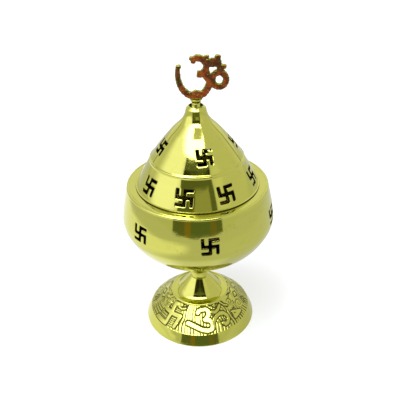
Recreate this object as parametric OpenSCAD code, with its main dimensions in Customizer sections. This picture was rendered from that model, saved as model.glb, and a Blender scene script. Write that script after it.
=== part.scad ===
// Brass incense burner: a hollow trumpet foot, a perforated round bowl on a short stem,
// a lift-out ember cup and a perforated lift-off lid with a cast sacred-syllable finial.
// Millimetres. +Z is up, -Y is the front, the origin is the middle of the foot's underside.

/* [Foot] */
// Radius of the ring that the burner stands on
foot_r = 31; // [29.5:0.5:36]
// Height of the foot, from the table to the top of its neck
foot_h = 29.6; // [26:0.2:36]
// Height of the plain steep rim below the chased band
rim_h = 5.8; // [4:0.2:7]
// Radius at the lower edge of the chased band
band_low_r = 28.4; // [27.4:0.1:29.2]
// Height of the chased band's slight bend
band_mid_h = 9.3; // [8.6:0.1:10.4]
// Radius of the chased band's slight bend
band_mid_r = 24.9; // [24:0.1:26.6]
// Height of the chased band's upper edge
band_top_h = 16.4; // [15:0.2:17.6]
// Radius at the upper edge of the chased band
band_top_r = 16.2; // [14:0.1:18]
// Width of the raised bead between the band and the bell
bead_w = 1.4; // [0.8:0.1:2]
// Height of the lower edge of the bell's cone
cone_low_h = 18.2; // [17.9:0.1:18.8]
// Radius at the lower edge of the bell's cone
cone_low_r = 12.3; // [11.6:0.1:13]
// Height of the upper edge of the bell's cone
cone_top_h = 26.6; // [24.8:0.1:27.4]
// Radius at the upper edge of the bell's cone
cone_top_r = 5.3; // [5:0.1:6.2]
// Radius of the neck under the collar
neck_r = 4.5; // [3.8:0.1:4.8]
// Wall of the foot
foot_wall = 1.2; // [0.9:0.1:1.6]
// Height of the flat inside the foot that the nut pulls on
nut_seat_h = 18.4; // [17.6:0.2:20]
// Radius of the boss that carries that flat
boss_r = 6.6; // [6.3:0.1:8]

/* [Collar and stem] */
// Radius of the thin collar between foot and stem
collar_r = 5; // [4.4:0.1:7]
// Thickness of the collar
collar_t = 0.9; // [0.6:0.1:1.6]
// Height of the turned stem
stem_h = 14.4; // [12:0.2:20]
// Radius of the stem at its lower bead
stem_r = 2.9; // [2.7:0.1:3.6]
// Radius of the stem's round knop
knop_r = 5.2; // [4:0.1:7]
// Radius of the flange under the bowl
flange_r = 9; // [7:0.5:12]
// Thickness of that flange
flange_t = 1.4; // [1:0.1:2]

/* [Bowl] */
// Height of the bowl's shell
bowl_h = 41.1; // [39:0.5:48]
// Wall of the bowl
bowl_wall = 1.1; // [0.8:0.1:1.5]
// Radius of the bowl's flat bottom
bowl_floor_r = 14.5; // [12:0.5:17]
// Radius where the bottom turns into the round side
bowl_turn_r = 20.2; // [18.5:0.1:22]
// Height of that turn
bowl_turn_h = 0.9; // [0.5:0.1:1.5]
// Radius of the belly's lower edge
belly_r = 39.3; // [37.5:0.1:39.5]
// Height of the belly's lower edge
belly_h = 19.3; // [17:0.1:21]
// Radius of the widest part, where the upper side begins
bowl_r = 39.9; // [39.6:0.1:42]
// Height where the upper side begins
side_h = 25.5; // [24:0.1:27]
// Radius of the shell's upper edge
mouth_r = 36.7; // [35.5:0.1:38.5]
// Height of the middle of the bowl's row of openings
bowl_row_h = 28.2; // [27:0.1:33]

/* [Mouth ring] */
// Thickness of the flat ring that closes the shell's edge
ring_t = 1.2; // [0.9:0.1:2]
// How far the ring stands proud of the shell
ring_lip = 0.15; // [0.1:0.05:0.4]
// Radius of the mouth that the lid drops into
ring_bore_r = 30.4; // [29:0.1:31]
// Depth of the ring's spigot inside the shell
spigot_h = 2.5; // [1.5:0.1:4]
// Wall of the spigot
spigot_t = 1.2; // [0.8:0.1:2]
// Play between spigot and shell
spigot_gap = 0.1; // [0.05:0.05:0.3]

/* [Ember cup] */
// Radius of the cup's rim
cup_r = 25; // [20:0.5:26]
// Height of the cup without its foot ring
cup_h = 15; // [11:0.5:18]
// Radius of the cup's flat bottom
cup_floor_r = 12; // [11.5:0.5:15]
// Wall of the cup
cup_wall = 1; // [0.8:0.1:1.6]
// Radius of the cup's foot ring
cup_foot_r = 10.4; // [8.4:0.2:11]
// Height of the cup's foot ring
cup_foot_h = 5.4; // [5:0.2:8]
// Wall of the cup's foot ring
cup_foot_t = 1.2; // [0.8:0.1:2]

/* [Lid] */
// Radius of the thin lip that rests on the mouth ring
lip_r = 32.1; // [31.8:0.1:33.5]
// Thickness of the lip
lip_t = 0.7; // [0.5:0.1:1]
// Radius of the lid just above the lip
lid_r = 31.4; // [31.2:0.1:31.8]
// Height of the lid's lower band
low_h = 13.2; // [11:0.2:17]
// Radius at the crease above the lower band
low_r = 24.2; // [22.5:0.1:25.5]
// Height of the lid's middle band
mid_h = 15.7; // [13:0.2:19]
// Radius at the crease under the neck
mid_r = 12.5; // [11.5:0.1:13.5]
// Height of the hollowed neck
neck_h = 11.3; // [10.6:0.2:15]
// Radius where the neck's cone turns up
neck_bend_r = 7.4; // [6.8:0.1:8.4]
// Height of that turn above the crease
neck_bend_h = 5.3; // [4.4:0.1:6.4]
// Radius at the top of the neck
neck_top_r = 5.2; // [5:0.1:6]
// Height of the chamfer at the very top
top_h = 1.2; // [0.8:0.1:1.6]
// Radius of the dish in the top
dish_r = 3.4; // [3.1:0.1:3.8]
// Depth of that dish
dish_depth = 1.3; // [0.8:0.1:1.8]
// Wall of the lid
lid_wall = 1.1; // [0.8:0.1:1.3]
// Thickness of the web under the dish
web_t = 1.5; // [1:0.1:2]

/* [Lid skirt] */
// Play all round between the skirt and the mouth
skirt_gap = 0.5; // [0.35:0.05:1]
// Wall of the skirt
skirt_t = 0.9; // [0.6:0.1:1.4]
// Room for solder between the skirt and the lid
solder_gap = 0.03; // [0.02:0.01:0.1]
// Depth that the skirt reaches below the lip
skirt_h = 3.6; // [2:0.2:6]

/* [Openings] */
// Side of the swastika openings in the bowl
bowl_motif = 8.8; // [7:0.1:9]
// Side of the swastika openings in the lid's lower band
low_motif = 8.7; // [7:0.1:9]
// Side of the swastika openings in the lid's middle band
mid_motif = 7.8; // [6:0.1:8.4]
// Width of every stroke of the openings
stroke = 1.6; // [1:0.1:1.8]

/* [Finial] */
// Thickness of the cast syllable
syllable_t = 2.6; // [2:0.1:3.2]
// Height of the turned post above the dish's floor
post_h = 4.6; // [3.6:0.1:7]
// Radius of the post at its foot
post_r = 2.4; // [2:0.1:2.6]
// Radius of the post's waist
post_waist_r = 1.8; // [1.7:0.05:2.1]
// Radius of the post's cupped top
post_top_r = 2.7; // [2.5:0.1:3.6]
// Radius of the syllable's large lower sweep
sweep_r = 7.7; // [6.8:0.1:8.2]
// Radius of the syllable's upper hook
hook_r = 4.1; // [3.8:0.1:4.4]
// Radius of the syllable's round loop
loop_r = 3.35; // [3:0.05:3.7]
// How far the hook stands right of the sweep's middle
hook_x = 1.8; // [1.2:0.1:2.4]
// How far the hook stands above it
hook_up = 7.2; // [6.6:0.1:7.8]
// How far the loop stands right of it
loop_x = 12; // [11.4:0.1:12.6]
// How far the joint of hook, sweep and loop stands right of it
joint_x = 7.6; // [7:0.1:8.2]
// How far that joint stands above it
joint_up = 1.3; // [0.8:0.1:1.8]
// Height of the rising tail
tail_h = 7.2; // [6:0.1:8.4]
// How far the crown starts right of the hook's middle
crown_x = 3.6; // [3.2:0.1:4]
// How far the crown stands above it
crown_up = 2.1; // [1.7:0.1:2.5]
// Length of the crown
crown_w = 6.2; // [5.6:0.1:6.8]
// How far the crown's right end turns down
brow_drop = 2.7; // [2.2:0.1:3.2]
// Radius of the crown's larger knob
knob_r = 1.6; // [1.3:0.1:1.9]
// Radius of the crown's smaller knob
small_knob_r = 0.8; // [0.6:0.1:1.1]
// Width of the syllable's main lines
line_w = 2.6; // [2.2:0.1:3]
// Width of the loop and the crown
loop_w = 2.5; // [2:0.1:2.8]
// Width of the rising tail
tail_w = 2.2; // [1.8:0.1:2.6]
// Depth of the slot in the post's top
slot_depth = 1.5; // [1:0.1:2.2]
// Length of the syllable's tenon
tenon_w = 3.2; // [2.4:0.1:3.8]
// Play of the tenon in its slot
slot_gap = 0.05; // [0.02:0.01:0.15]

/* [Fastenings] */
// Radius of the long bolt through bowl, stem and foot
bolt_r = 1.95; // [1.7:0.05:2.1]
// Play all round between that bolt and what it passes through
bolt_gap = 0.1; // [0.05:0.05:0.3]
// Radius of the bolt's round head
head_r = 4; // [3.4:0.1:5]
// Height of the bolt's round head
head_h = 2.2; // [1.8:0.1:2.8]
// Width across the flats of the foot nut
nut_w = 7; // [6:0.1:8]
// Thickness of the foot nut
nut_t = 3.2; // [2.4:0.1:4]
// Radius of the two large washers
washer_r = 6; // [5.2:0.1:6.2]
// Thickness of the two large washers
washer_t = 1; // [0.8:0.1:1.2]
// Length of bolt that shows under its nut
bolt_tail = 1.8; // [1:0.1:3]
// Radius of the finial's threaded tail
tail_r = 1.45; // [1.2:0.05:1.55]
// Play round the tail in the lid
tail_gap = 0.05; // [0.02:0.01:0.15]
// Length of that tail that shows under its nut
thread_end = 1; // [0.6:0.1:2]
// Width across the flats of the finial nut
small_nut_w = 5.5; // [5:0.1:5.8]
// Thickness of the finial nut
small_nut_t = 2.4; // [2:0.1:3]
// Radius of the finial washer
small_washer_r = 3.3; // [3:0.1:3.6]
// Thickness of the finial washer
small_washer_t = 0.8; // [0.5:0.1:1]
// Play between each nut and its thread
thread_gap = 0.02; // [0.01:0.01:0.05]

/* [Hidden] */
$fn = 96;
hook_start = 130;       // angles where the hook and the sweep start and end
hook_end = -82;
sweep_end = 12;
tenon_share = 0.7;      // thickness of the tenon, as a share of the syllable's
sweep_x = -1;           // how far the large sweep's middle stands left of the post
slack = 1;              // how far a cutting tool runs past the face it cuts
steps = 8;              // pieces in each arc of an outline
edge = 0.3;             // small rounding of turned edges

// Bulge of each arc of the outlines, measured from its chord
bell_bulge = 0.22;
cone_bulge = 0.1;
neck_step = 0.5;        // height of the short slope from the cone to the neck
band_bulge = 0.1;
band_edge_bulge = 0.04;
bead_bulge = 0.5;
floor_bulge = 0.25;
round_bulge = 2.75;
belly_bulge = 0.4;
side_bulge = 0.3;
cup_bulge = 3.2;
low_bulge = 0.15;
mid_bulge = 0.42;
neck_cone_bulge = 0.05;
neck_bulge = 0.5;

// Heights along the stem, as shares of its height
bead_share = 0.14;
knop_low_share = 0.3;
knop_high_share = 0.66;
flare_share = 0.22;     // hollow of the stem's flare, as a share of its width
stem_bead = 0.35;       // how far the stem's lower bead stands out

// Compass angle of each opening, from the front towards the right, as marked out by hand
bowl_marks = [-92, -47, 8, 74, 138, 203];
low_marks = [-57, -13, 29, 76, 121, 167, 212, 257];
mid_marks = [-75, 11.5, 95, 190];
// Height of each of the lid's rows, as a share of its band
low_row = 0.43;
mid_row = 0.55;

// Heights of the stack, from the table up
stem_z = foot_h + collar_t;
bowl_z = stem_z + stem_h;
ring_z = bowl_z + bowl_h;
seat_z = ring_z + ring_t;
cup_z = bowl_z + bowl_wall + cup_foot_h;
lid_z = seat_z + lip_t;
low_z = lid_z + low_h;
mid_z = low_z + mid_h;
neck_z = mid_z + neck_h;
top_z = neck_z + top_h;
dish_z = top_z - dish_depth;
web_z = dish_z - web_t;
post_z = dish_z + post_h;
skirt_r = ring_bore_r - skirt_gap;
hole_r = bolt_r + bolt_gap;

// Points of an arc from a to b that stands off its chord, to the left of the way, by bulge
function arc(a, b, bulge, n = steps) =
    let (chord = norm(b - a), r = (chord * chord / 4 + bulge * bulge) / (2 * bulge),
         left = [a.y - b.y, b.x - a.x] / chord, mid = (a + b) / 2 + left * (bulge - r),
         v = a - mid, turn = -2 * asin(chord / 2 / r))
    [for (i = [0:n]) let (t = turn * i / n)
        mid + [v.x * cos(t) - v.y * sin(t), v.x * sin(t) + v.y * cos(t)]];

// Unit vector to the left of the way at point i of an outline
function left_of(p, i) =
    let (d = p[min(i + 1, len(p) - 1)] - p[max(i - 1, 0)])
    [-d.y, d.x] / norm(d);

// An outline that runs beside another one, to its left, at distance w
function beside(p, w) = [for (i = [0:len(p) - 1]) p[i] + left_of(p, i) * w];

function reversed(p) = [for (i = [len(p) - 1:-1:0]) p[i]];

// Radius of an upward-running outline at a given height
function radius_at(p, z) = lookup(z, [for (q = p) [q.y, q.x]]);

// An outline without doubled points
function single(p) = [for (i = [0:len(p) - 1]) if (i == 0 || norm(p[i] - p[max(i - 1, 0)]) > 0.001) p[i]];

// Outlines of the turned pieces, all running upwards
bell_start = [band_top_r - bead_w, band_top_h + bead_w * 0.4];
band_line = single(concat(
    [[foot_r, 0]],
    arc([band_low_r, rim_h], [band_mid_r, band_mid_h], -band_edge_bulge),
    arc([band_mid_r, band_mid_h], [band_top_r, band_top_h], -band_bulge)));
bead_line = arc([band_top_r, band_top_h], bell_start, -bead_bulge);
bell_line = single(concat(
    arc(bell_start, [cone_low_r, cone_low_h], bell_bulge),
    arc([cone_low_r, cone_low_h], [cone_top_r, cone_top_h], cone_bulge),
    [[neck_r, cone_top_h + neck_step]]));
bowl_line = single(concat(
    arc([bowl_floor_r, 0], [bowl_turn_r, bowl_turn_h], -floor_bulge, 3),
    arc([bowl_turn_r, bowl_turn_h], [belly_r, belly_h], -round_bulge, 14),
    arc([belly_r, belly_h], [bowl_r, side_h], -belly_bulge, 5),
    arc([bowl_r, side_h], [mouth_r, bowl_h], -side_bulge)));
lid_line = single(concat(
    arc([lid_r, 0], [low_r, low_h], -low_bulge),
    arc([low_r, low_h], [mid_r, low_h + mid_h], -mid_bulge),
    arc([mid_r, low_h + mid_h], [neck_bend_r, low_h + mid_h + neck_bend_h], -neck_cone_bulge),
    arc([neck_bend_r, low_h + mid_h + neck_bend_h],
        [neck_top_r, low_h + mid_h + neck_h], neck_bulge)));

module turned(outline, z = 0)
    translate([0, 0, z]) rotate_extrude($fn = 96) polygon(outline);

module disc(r, t, z)
    translate([0, 0, z]) cylinder(r = r, h = t);

// Hole on the axis from height z up
module bore(r, t, z)
    translate([0, 0, z - slack]) cylinder(r = r, h = t + 2 * slack);

module hex(w, t, z)
    translate([0, 0, z]) cylinder(d = w / cos(30), h = t, $fn = 6);

// Right-facing swastika as six bars
module motif(size, w) {
    far = (size - w) / 2;
    square([w, size], center = true);
    square([size, w], center = true);
    for (quarter = [0:3])
        rotate(90 * quarter) translate([far / 2, far]) square([far + w, w], center = true);
}

// One opening cut square through a turned wall at height z of its outline
module opening(line, z, angle, size, wall) {
    r = radius_at(line, z);
    lean = atan2(radius_at(line, z - size / 2) - radius_at(line, z + size / 2), size);
    rotate(angle) translate([0, -r, z]) rotate([90 - lean, 0, 0])
        linear_extrude(height = 8 * wall, center = true) motif(size, stroke);
}

module foot() {
    roof = [for (p = beside(concat(band_line, bell_line), foot_wall))
        if (p.y > 0 && p.x > boss_r && p.y < nut_seat_h + slack) p];
    inner_r = foot_r - 1.5 * foot_wall;
    hollow = concat([[0, -slack], [inner_r, -slack], [inner_r, 0]], roof,
        [[boss_r, nut_seat_h], [0, nut_seat_h]]);
    color("goldenrod") difference() {
        turned(single(concat([[0, 0]], band_line, bead_line, bell_line,
            [[neck_r, foot_h], [0, foot_h]])));
        turned(hollow);
        bore(hole_r, foot_h, 0);
    }
}

module collar() {
    color("goldenrod") difference() {
        turned([[0, 0], [collar_r, 0], [collar_r, collar_t - edge], [collar_r - edge, collar_t],
            [0, collar_t]], foot_h);
        bore(hole_r, collar_t, foot_h);
    }
}

module stem() {
    bead_h = stem_h * bead_share;
    knop_low = stem_h * knop_low_share;
    knop_high = stem_h * knop_high_share;
    outline = concat(
        [[0, 0], [stem_r, 0]],
        arc([stem_r, edge], [stem_r, bead_h], -stem_bead, 4),
        [[stem_r - edge, bead_h], [stem_r - edge, knop_low]],
        arc([stem_r, knop_low], [stem_r, knop_high], -(knop_r - stem_r)),
        [[stem_r - edge, knop_high]],
        arc([stem_r - edge, knop_high + edge], [flange_r, stem_h - flange_t],
            (flange_r - stem_r) * flare_share),
        [[flange_r, stem_h], [0, stem_h]]);
    color("goldenrod") difference() {
        turned(outline, stem_z);
        bore(hole_r, stem_h, stem_z);
    }
}

module bowl() {
    inside = [for (p = beside(bowl_line, bowl_wall))
        if (p.x > bowl_floor_r && p.y > bowl_wall && p.y < bowl_h) p];
    color("goldenrod") difference() {
        turned(concat([[0, 0]], bowl_line, [[0, bowl_h]]), bowl_z);
        turned(concat([[0, bowl_wall], [bowl_floor_r, bowl_wall]], inside,
            [[mouth_r - bowl_wall, bowl_h], [mouth_r - bowl_wall, bowl_h + slack],
            [0, bowl_h + slack]]), bowl_z);
        bore(hole_r, bowl_wall, bowl_z);
        translate([0, 0, bowl_z])
            for (angle = bowl_marks) opening(bowl_line, bowl_row_h, angle, bowl_motif, bowl_wall);
    }
}

module mouth_ring() {
    outer = mouth_r + ring_lip;
    spigot_r = mouth_r - bowl_wall - spigot_gap;
    color("goldenrod") turned([
        [ring_bore_r, 0], [spigot_r - spigot_t, 0], [spigot_r - spigot_t, -spigot_h],
        [spigot_r, -spigot_h], [spigot_r, 0], [outer, 0], [outer, ring_t - edge],
        [outer - edge, ring_t], [ring_bore_r, ring_t]], ring_z);
}

module ember_cup() {
    side = arc([cup_floor_r, 0], [cup_r, cup_h], -cup_bulge);
    inside = [for (p = beside(side, cup_wall)) if (p.x > cup_floor_r && p.y > cup_wall && p.y < cup_h) p];
    color("darkgoldenrod") difference() {
        turned(concat([[0, 0]], side, [[0, cup_h]]), cup_z);
        turned(concat([[0, cup_wall], [cup_floor_r, cup_wall]], inside,
            [[cup_r - cup_wall, cup_h], [cup_r - cup_wall, cup_h + slack], [0, cup_h + slack]]), cup_z);
    }
}

module cup_foot() {
    color("darkgoldenrod") difference() {
        disc(cup_foot_r, cup_foot_h, cup_z - cup_foot_h);
        bore(cup_foot_r - cup_foot_t, cup_foot_h, cup_z - cup_foot_h);
    }
}

module lid() {
    neck_top = low_h + mid_h + neck_h;
    skirt_bore = skirt_r + solder_gap;
    inside = [for (p = beside(lid_line, lid_wall)) if (p.y > 0 && p.y < web_z - lid_z) p];
    color("goldenrod") difference() {
        turned(concat([[0, -lip_t], [lip_r, -lip_t], [lip_r, 0]], lid_line,
            [[dish_r + edge, neck_top + top_h], [0, neck_top + top_h]]), lid_z);
        turned(concat([[0, -lip_t - slack], [skirt_bore, -lip_t - slack], [skirt_bore, 0]], inside,
            [[inside[len(inside) - 1].x, web_z - lid_z], [0, web_z - lid_z]]), lid_z);
        disc(dish_r, dish_depth + slack, dish_z);
        bore(tail_r + tail_gap, web_t, web_z);
        translate([0, 0, lid_z]) {
            for (angle = low_marks) opening(lid_line, low_row * low_h, angle, low_motif, lid_wall);
            for (angle = mid_marks) opening(lid_line, low_h + mid_row * mid_h, angle, mid_motif, lid_wall);
        }
    }
}

module lid_skirt() {
    color("goldenrod") difference() {
        disc(skirt_r, skirt_h + lip_t, seat_z - skirt_h);
        bore(skirt_r - skirt_t, skirt_h + lip_t, seat_z - skirt_h);
    }
}

module finial_post() {
    thread_h = dish_z - web_z + small_washer_t + small_nut_t + thread_end;
    waist = max(post_r, post_top_r) - post_waist_r;
    outline = concat(
        [[0, -thread_h], [tail_r, -thread_h], [tail_r, 0], [post_r, 0], [post_r, 2 * edge]],
        arc([post_r, 3 * edge], [post_top_r, post_h - 2 * edge], waist, 10),
        [[post_top_r, post_h], [0, post_h]]);
    color("goldenrod") difference() {
        turned(outline, dish_z);
        translate([0, 0, post_z - slot_depth / 2 + slack / 2])
            cube([tenon_w + 2 * slot_gap, syllable_t * tenon_share + 2 * slot_gap,
                slot_depth + slack], center = true);
    }
}

// Centre line of part of a circle, from angle a to angle b
function turn_line(centre, r, a, b, n = 20) =
    [for (i = [0:n]) let (t = a + (b - a) * i / n) centre + r * [cos(t), sin(t)]];

// A line with round ends
module line(p, w) {
    polygon(concat(beside(p, w / 2), reversed(beside(p, -w / 2))));
    for (end = [p[0], p[len(p) - 1]]) translate(end) circle(d = w, $fn = 24);
}

module knob(place, r)
    translate(place) circle(r = r, $fn = 24);

module om_finial() {
    sweep = [sweep_x, sweep_r + line_w / 2];
    tail = sweep + [-sweep_r, 0];
    tip = tail + [line_w / 4, tail_h];
    hook = sweep + [hook_x, hook_up];
    hook_tip = hook + hook_r * [cos(hook_start), sin(hook_start)];
    loop = sweep + [loop_x, 0];
    joint = sweep + [joint_x, joint_up];
    crown = hook + [crown_x, crown_up];
    brow = crown + [crown_w, 0];
    brow_end = brow + [brow_drop / 3, -brow_drop];
    spur = crown + [line_w / 3, line_w];
    color("firebrick") {
        translate([0, 0, post_z]) rotate([90, 0, 0]) linear_extrude(height = syllable_t, center = true) {
            line(turn_line(sweep, sweep_r, sweep_end, -180), line_w);
            line([tail, (tail + tip) / 2 - [line_w / 8, 0], tip], tail_w);
            line(turn_line(hook, hook_r, hook_start, hook_end), line_w);
            line([hook + [hook_r - line_w / 4, -hook_r / 2], joint], line_w);
            line([joint, brow_end], tail_w);
            line([crown, brow], loop_w);
            line([brow, brow_end], loop_w);
            line([crown, spur], 2 * small_knob_r);
            knob(spur, small_knob_r);
            knob(brow + [0, knob_r * 1.2], knob_r);
            knob(brow_end + [knob_r, 0], knob_r * 0.9);
            knob(hook_tip, line_w * 0.58);
            knob(tip, tail_w * 0.55);
            translate(loop) difference() {
                circle(r = loop_r + loop_w / 2, $fn = 48);
                circle(r = loop_r - loop_w / 2, $fn = 48);
            }
        }
        translate([0, 0, post_z - slot_depth / 2 + line_w / 4])
            cube([tenon_w, syllable_t * tenon_share, slot_depth + line_w / 2], center = true);
    }
}

module finial_washer() {
    low = web_z - small_washer_t;
    color("silver") difference() {
        disc(small_washer_r, small_washer_t, low);
        bore(tail_r + tail_gap, small_washer_t, low);
    }
}

module finial_nut() {
    low = web_z - small_washer_t - small_nut_t;
    color("silver") difference() {
        hex(small_nut_w, small_nut_t, low);
        bore(tail_r + thread_gap, small_nut_t, low);
    }
}

module centre_bolt() {
    under_head = bowl_z + bowl_wall + washer_t;
    low = nut_seat_h - washer_t - nut_t - bolt_tail;
    color("silver") {
        disc(bolt_r, under_head - low + head_h / 2, low);
        turned([[0, 0], [head_r, 0], [head_r, head_h * 0.5], [head_r * 0.75, head_h],
            [0, head_h]], under_head);
    }
}

module bowl_washer() {
    color("silver") difference() {
        disc(washer_r, washer_t, bowl_z + bowl_wall);
        bore(hole_r, washer_t, bowl_z + bowl_wall);
    }
}

module foot_washer() {
    color("silver") difference() {
        disc(washer_r, washer_t, nut_seat_h - washer_t);
        bore(hole_r, washer_t, nut_seat_h - washer_t);
    }
}

module foot_nut() {
    low = nut_seat_h - washer_t - nut_t;
    color("silver") difference() {
        hex(nut_w, nut_t, low);
        bore(bolt_r + thread_gap, nut_t, low);
    }
}

foot();
foot_nut();
foot_washer();
collar();
stem();
centre_bolt();
bowl_washer();
bowl();
mouth_ring();
ember_cup();
cup_foot();
lid();
lid_skirt();
finial_post();
om_finial();
finial_washer();
finial_nut();
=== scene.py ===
from math import asin, cos, pi, radians, sin
import bmesh
import bpy
import numpy as np
from mathutils import Matrix


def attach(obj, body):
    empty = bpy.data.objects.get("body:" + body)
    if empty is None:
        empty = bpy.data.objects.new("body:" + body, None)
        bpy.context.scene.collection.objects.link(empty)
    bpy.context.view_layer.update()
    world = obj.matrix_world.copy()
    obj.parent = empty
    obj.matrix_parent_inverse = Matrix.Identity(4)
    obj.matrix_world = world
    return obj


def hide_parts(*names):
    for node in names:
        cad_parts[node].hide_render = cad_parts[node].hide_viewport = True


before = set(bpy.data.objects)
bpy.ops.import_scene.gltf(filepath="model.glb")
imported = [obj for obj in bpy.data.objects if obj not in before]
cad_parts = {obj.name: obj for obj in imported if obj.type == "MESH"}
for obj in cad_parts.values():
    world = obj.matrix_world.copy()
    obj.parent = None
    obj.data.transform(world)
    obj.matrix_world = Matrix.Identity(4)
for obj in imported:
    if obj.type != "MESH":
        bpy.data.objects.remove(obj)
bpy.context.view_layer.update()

# View: a hand-held camera a little above the burner, looking down at the bowl.
# Distances in metres, angles in degrees, lens and sensor in millimetres.
EYE = (0.0, -0.26672, 0.23720)
PITCH, YAW, ROLL = 31.19, 0.24, -1.06
LENS, SENSOR = 52.97, 36.0
camera = bpy.data.objects.new("camera", bpy.data.cameras.new("camera"))
camera.data.lens = LENS
camera.data.sensor_width = SENSOR
camera.data.clip_start = 0.01
camera.matrix_world = (Matrix.Translation(EYE) @ Matrix.Rotation(radians(-YAW), 4, "Z")
                       @ Matrix.Rotation(radians(90 - PITCH), 4, "X")
                       @ Matrix.Rotation(radians(ROLL), 4, "Z"))
bpy.context.collection.objects.link(camera)
bpy.context.scene.camera = camera
bpy.context.scene.view_settings.view_transform = "Standard"


# Room: pale walls, a tall window high on the left front and a dark end behind the camera.
# The brass mirrors all of it. Places are in degrees: side is how far to the right of the
# front a thing stands, and up is how high over the table.
class Wire:
    """Output of a shader node. Each operator adds the Math node of its name."""

    def __init__(self, finish, socket):
        self.finish, self.socket = finish, socket

    def math(self, operation, *values):
        return self.finish.node("Math", dict(operation=operation), dict(enumerate(values)))

    def __add__(self, other):
        return self.math("ADD", self, other)

    def __sub__(self, other):
        return self.math("SUBTRACT", self, other)

    def __rsub__(self, other):
        return self.math("SUBTRACT", other, self)

    def __mul__(self, other):
        return self.math("MULTIPLY", self, other)

    def __truediv__(self, other):
        return self.math("DIVIDE", self, other)

    def __rtruediv__(self, other):
        return self.math("DIVIDE", other, self)

    def __pow__(self, other):
        return self.math("POWER", self, other)

    def __abs__(self):
        return self.math("ABSOLUTE", self)

    __radd__, __rmul__ = __add__, __mul__

    def rise(self, low, high):
        """0 below low, 1 above high, a smooth step between; falls where low is above high."""
        return self.finish.node("MapRange", dict(interpolation_type="SMOOTHSTEP"),
                                {"Value": self, "From Min": low, "From Max": high})

    def between(self, low, high, soft):
        """1 between low and high, with smooth flanks as wide as soft."""
        return self.rise(low - soft, low + soft) * self.rise(high + soft, high - soft)


class Finish:
    """Node tree of a material or of the world, with one method that adds any node."""

    def __init__(self, owner):
        owner.use_nodes = True
        self.owner, self.tree = owner, owner.node_tree
        self.tree.nodes.clear()

    def node(self, kind, settings=(), inputs=(), out=0):
        made = self.tree.nodes.new("ShaderNode" + kind)
        for name, value in dict(settings).items():
            if name == "stops":
                ramp = made.color_ramp
                for _ in value[2:]:
                    ramp.elements.new(1.0)
                for element, (place, colour) in zip(ramp.elements, value):
                    element.position, element.color = place, (*colour, 1.0)
            elif name == "blend":
                made.data_type, made.blend_type = "RGBA", value
            else:
                setattr(made, name, value)
        for name, value in dict(inputs).items():
            socket = made.inputs[name]
            if isinstance(value, Wire):
                self.tree.links.new(value.socket, socket)
            elif hasattr(socket.default_value, "__len__") and len(socket.default_value) == 4:
                socket.default_value = (*value, 1.0)
            else:
                socket.default_value = value
        return Wire(self, made.outputs[out]) if made.outputs else None

    def mix(self, factor, low, high, blend="MIX"):
        """Colour that goes from low to high with the factor."""
        return self.node("Mix", dict(blend=blend), {0: factor, 6: low, 7: high}, out=2)

    def wires(self, kind, settings=(), inputs=(), count=3):
        """All the outputs of one node, as a list."""
        first = self.node(kind, settings, inputs)
        return [Wire(self, socket) for socket in first.socket.node.outputs[:count]]


WINDOW_LIGHT = (6.6, 6.8, 7.4)
WALL, LEFT_WALL, BACK_WALL = (0.77, 0.77, 0.74), (1.50, 1.50, 1.95), (0.98, 0.98, 0.96)
LOW_WALL, CEILING, CORNER = (0.68, 0.70, 0.60), (0.68, 0.68, 0.58), (0.25, 0.26, 0.18)
SUN_PATCH, SHADE = (1.0, 1.0, 0.9), (0.025, 0.026, 0.010)
DARK_END, HIGH_END = (0.14, 0.16, 0.07), (0.41, 0.42, 0.25)
DOOR, CLOTH = (0.27, 0.19, 0.03), (0.13, 0.17, 0.07)
CORNER_SIDE, CORNER_HALF = 128.0, 2.0
DARK_SIDES, DARK_FOOT, SHELF = (-37.5, 34.5), (-20.0, -10.0), (11.0, 14.0)
SILL, SILL_DROP, WINDOW_TOP, EDGE = 45.0, 2.8, 60.8, 0.6
# What stands at the dark end: (from side, to side, cover, colour), and what hangs above it:
# (from side, to side, softness), (from up, to up, softness), cover, colour.
STANDING = ((-20.0, -11.0, 1.0, DOOR), (-10.0, 17.0, 0.8, CLOTH), (17.0, 26.0, 0.5, DOOR))
HANGING = (((-7.0, 24.0, 0.6), (13.0, 28.5, 0.8), 1.0, HIGH_END),
           ((-10.0, -6.0, 0.6), (-90.0, 28.5, 0.5), 1.0, DOOR),
           ((-180.0, 180.0, 0.6), (34.0, 41.2, 0.6), 1.0, SHADE),
           ((1.0, 5.0, 1.0), (34.0, 41.2, 1.5), 0.5, DOOR))
room = Finish(bpy.data.worlds.new("room"))
bpy.context.scene.world = room.owner
x, y, z = room.wires("SeparateXYZ", (), {0: room.node("TexCoord")})
side = room.node("Math", dict(operation="ARCTAN2"), {0: x, 1: y * -1.0}) * (180 / pi)
up = room.node("Math", dict(operation="ARCSINE"), {0: z}) * (180 / pi)
inner_edge = side - up.rise(10.0, 22.0) * 14.0
left = side.rise(-111.0, -85.0) * inner_edge.rise(-37.0, -63.0) * up.rise(1.0, 11.0)
walls = room.mix(left, WALL, LEFT_WALL)
walls = room.mix(abs(side).rise(105.0, 150.0), walls, BACK_WALL)
patch = side.between(38.0, 58.0, 8.0) * up.between(18.0, 38.0, 8.0)
walls = room.mix(patch * 0.6, walls, SUN_PATCH)
from_corner = abs(abs(side) - CORNER_SIDE)
walls = room.mix(from_corner.rise(CORNER_HALF + 1.0, CORNER_HALF - 1.0) * 0.75, walls, CORNER)
walls = room.mix(up.rise(5.0, 0.0), walls, LOW_WALL)
walls = room.mix(up.rise(60.0, 72.0) * side.rise(-30.0, -10.0), walls, CEILING)
standing = hanging = DARK_END
for low, high, cover, colour in STANDING:
    standing = room.mix(side.between(low, high, 0.8) * cover, standing, colour)
for across, upward, cover, colour in HANGING:
    hanging = room.mix(side.between(*across) * up.between(*upward) * cover, hanging, colour)
over_sill = (up - side.rise(-52.0, -4.0) * SILL_DROP).rise(SILL - EDGE / 2, SILL + EDGE / 2)
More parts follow.
